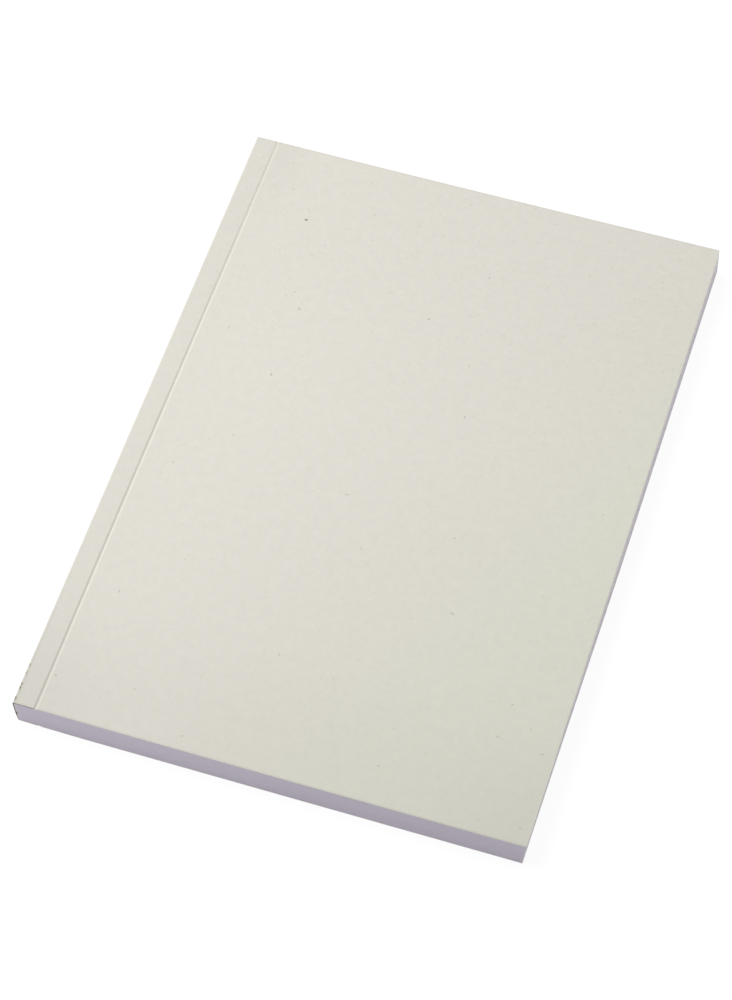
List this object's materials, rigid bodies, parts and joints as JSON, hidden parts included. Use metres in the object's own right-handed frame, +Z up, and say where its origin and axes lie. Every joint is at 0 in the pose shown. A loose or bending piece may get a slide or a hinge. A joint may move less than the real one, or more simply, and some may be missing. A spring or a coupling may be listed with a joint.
{
  "type": "softcover notebook",
  "caption": "A5 softcover notebook lying on its back cover: a glued block of blank leaves in a plain recycled-card cover, whose front and back panels open at hinge scores.",
  "frame": {"origin": "under the middle of the closed notebook, on the plane that its back cover lies on", "axes": "+X from the spine to the fore-edge, +Y from the tail to the head, +Z up through the front cover"},
  "size_m": [0.148, 0.21, 0.0107],
  "materials": {
    "cover_card": "matte, pale grey-beige recycled card with sparse dark specks and fibres",
    "leaves": "matte, uncoated white with a faint lilac cast",
    "adhesive": "satin, cloudy white hot-melt glue"
  },
  "bodies": {
    "book_block": {"page_block": "leaves", "spine_adhesive": "adhesive", "cover_spine": "cover_card"},
    "front_cover": {"front_cover": "cover_card"},
    "back_cover": {"back_cover": "cover_card"}
  },
  "joints": [
    {"name": "front_cover_hinge", "type": "hinge", "parent": "book_block", "child": "front_cover", "pos_m": [-0.06735, 0, 0.01066], "axis": [0, -1, 0], "range_deg": [0, 175]},
    {"name": "back_cover_hinge", "type": "hinge", "parent": "book_block", "child": "back_cover", "pos_m": [-0.06735, 0, 0], "axis": [0, 1, 0], "range_deg": [0, 175]}
  ]
}
